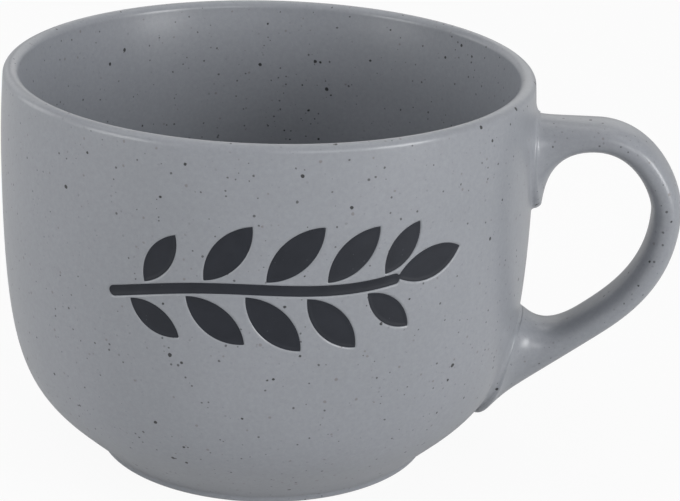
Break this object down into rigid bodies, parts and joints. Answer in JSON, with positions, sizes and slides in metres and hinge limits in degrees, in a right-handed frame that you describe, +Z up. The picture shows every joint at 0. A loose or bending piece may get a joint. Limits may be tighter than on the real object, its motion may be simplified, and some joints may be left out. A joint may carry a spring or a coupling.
{
  "type": "soup mug",
  "caption": "Wide rounded stoneware soup mug on a low foot ring, with a strap handle and a dark leafy sprig set into its front.",
  "frame": {"origin": "on the bowl's axis, in the plane that the foot ring stands on", "axes": "+Z up along the bowl's axis, +X from the axis along the handle, so the handle's mid plane is Y = 0; the sprig faces about -Y"},
  "size_m": [0.1535, 0.12, 0.0895],
  "materials": {
    "grey_glaze": "satin grey glaze with small dark specks",
    "slip_bead": "clay slip under the satin glaze",
    "dark_inlay": "matt charcoal glaze in a shallow recess"
  },
  "bodies": {
    "root": {"bowl": "grey_glaze", "handle": "grey_glaze", "upper_slip_joint": "slip_bead", "lower_slip_joint": "slip_bead", "sprig_stem": "dark_inlay", "sprig_upper_leaves": "dark_inlay", "sprig_lower_leaves": "dark_inlay", "sprig_tip_leaf": "dark_inlay"}
  },
  "joints": []
}
